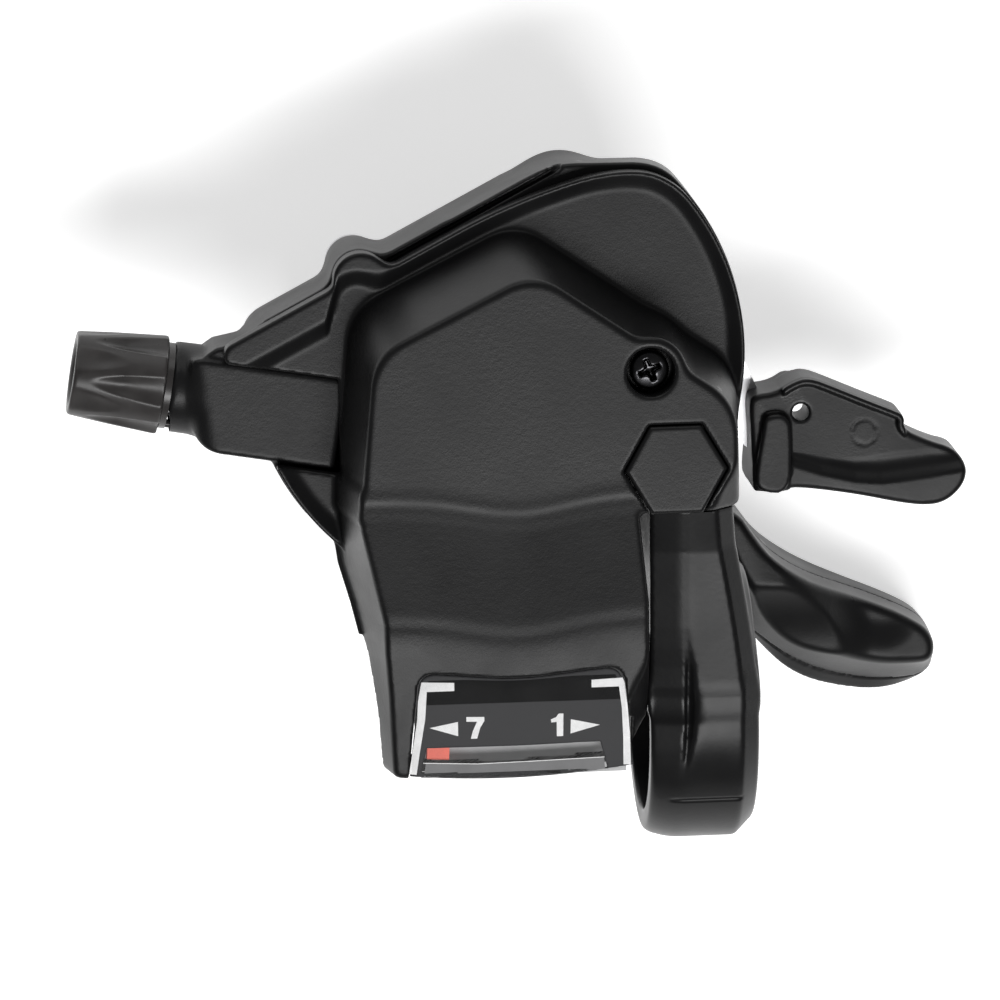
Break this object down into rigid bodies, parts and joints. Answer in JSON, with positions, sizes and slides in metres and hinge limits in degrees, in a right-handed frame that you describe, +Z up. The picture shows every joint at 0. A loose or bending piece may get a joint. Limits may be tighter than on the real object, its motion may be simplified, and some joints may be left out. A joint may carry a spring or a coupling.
{
  "type": "thumb shifter",
  "caption": "Under-bar trigger shifter for a flat handlebar, with a bar clamp, gear pointer window, push and release levers and a barrel adjuster for the cable.",
  "frame": {"origin": "on the bar's axis, inside the handlebar clamp's bore, 0.8 mm to the grip's side of its middle", "axes": "+X along the handlebar towards the grip, +Y forward away from the rider, +Z up out of the display side"},
  "size_m": [0.0865, 0.0669, 0.0471],
  "materials": {
    "housing_plastic": "fine spark-eroded grain, satin",
    "floor_plastic": "smooth moulded",
    "label_print": "printed scale, smooth",
    "lens": "clear moulded window",
    "black_screw": "black zinc, glossy",
    "plated_steel": "zinc plated",
    "stamped_steel": "stamped and tumbled",
    "spring_wire": "drawn wire",
    "clamp_alloy": "satin black coating",
    "lever_plastic": "fine grain with satin edges",
    "acetal": "natural acetal",
    "pointer_red": "smooth moulded",
    "knob_plastic": "satin moulded",
    "insert_brass": "turned"
  },
  "bodies": {
    "housing": {"main_housing": "housing_plastic", "top_cover": "housing_plastic", "indicator_floor": "floor_plastic", "indicator_label": "label_print", "indicator_lens": "lens", "hex_cap": "housing_plastic", "cover_screw": "black_screw", "housing_screws": "plated_steel", "base_plate": "stamped_steel", "bottom_cover": "housing_plastic", "bottom_screw": "black_screw", "clamp_band": "clamp_alloy", "clamp_bolt": "plated_steel", "clamp_nut": "plated_steel", "pivot_axle": "plated_steel", "axle_washer": "plated_steel", "axle_nut": "plated_steel", "spool_bushing": "acetal", "pointer_pivot": "plated_steel", "hold_pawl_pin": "plated_steel", "release_lever_pin": "plated_steel", "adjuster_insert": "insert_brass", "main_lever_spring": "spring_wire", "release_lever_spring": "spring_wire", "hold_pawl_spring": "spring_wire"},
    "spool": {"cable_spool": "acetal", "index_ratchet": "stamped_steel", "drive_ratchet": "stamped_steel", "crank_pin": "plated_steel"},
    "pointer": {"indicator_pointer": "acetal", "pointer_tip": "pointer_red"},
    "main_lever": {"main_lever_arm": "stamped_steel", "main_lever_paddle": "lever_plastic", "drive_pawl_pin": "plated_steel", "drive_pawl_spring": "spring_wire"},
    "drive_pawl": {"drive_pawl": "stamped_steel"},
    "release_lever": {"release_lever_arm": "stamped_steel", "release_lever_paddle": "lever_plastic"},
    "hold_pawl": {"hold_pawl": "stamped_steel"},
    "adjuster_collar": {"detent_collar": "knob_plastic"},
    "adjuster": {"adjuster_screw": "plated_steel", "adjuster_knob": "knob_plastic"}
  },
  "joints": [
    {"name": "spool_turn", "type": "hinge", "parent": "housing", "child": "spool", "pos_m": [-0.0195, 0.0348, 0.003], "axis": [0, 0, 1], "range_deg": [0, 126]},
    {"name": "pointer_swing", "type": "hinge", "parent": "housing", "child": "pointer", "pos_m": [-0.0195, 0.0218, 0.013], "axis": [0, 0, 1], "range_deg": [0, 32]},
    {"name": "main_lever_push", "type": "hinge", "parent": "housing", "child": "main_lever", "pos_m": [-0.0195, 0.0348, -0.0098], "axis": [0, 0, 1], "range_deg": [0, 46], "stiffness_Nm_per_rad": 0.1, "springref_deg": -45.84, "deforming": ["main_lever_spring"]},
    {"name": "drive_pawl_tilt", "type": "hinge", "parent": "main_lever", "child": "drive_pawl", "pos_m": [-0.03191, 0.03261, -0.008], "axis": [0, 0, -1], "range_deg": [0, 10], "stiffness_Nm_per_rad": 0.004, "springref_deg": -28.65, "deforming": ["drive_pawl_spring"]},
    {"name": "release_lever_push", "type": "hinge", "parent": "housing", "child": "release_lever", "pos_m": [0.0005, 0.0346, -0.0045], "axis": [0, 0, 1], "range_deg": [0, 14], "stiffness_Nm_per_rad": 0.12, "springref_deg": -28.65, "deforming": ["release_lever_spring"]},
    {"name": "hold_pawl_lift", "type": "hinge", "parent": "housing", "child": "hold_pawl", "pos_m": [-0.00859, 0.0411, -0.0045], "axis": [0, 0, -1], "range_deg": [0, 9.5], "deforming": ["hold_pawl_spring"]},
    {"name": "adjuster_travel", "type": "slide", "parent": "housing", "child": "adjuster_collar", "axis": [-0.9848, 0.1736, 0], "range_m": [0, 0.0024]},
    {"name": "adjuster_turn", "type": "hinge", "parent": "adjuster_collar", "child": "adjuster", "pos_m": [-0.02091, 0.02682, 0.003], "axis": [-0.9848, 0.1736, 0], "range_deg": [0, 1080]}
  ],
  "couplings": [
    {"joint": "pointer_swing", "follows": "spool_turn", "ratio": 0.2539},
    {"joint": "hold_pawl_lift", "follows": "release_lever_push", "ratio": 0.678},
    {"joint": "adjuster_turn", "follows": "adjuster_travel", "rad_per_m": 7854}
  ]
}
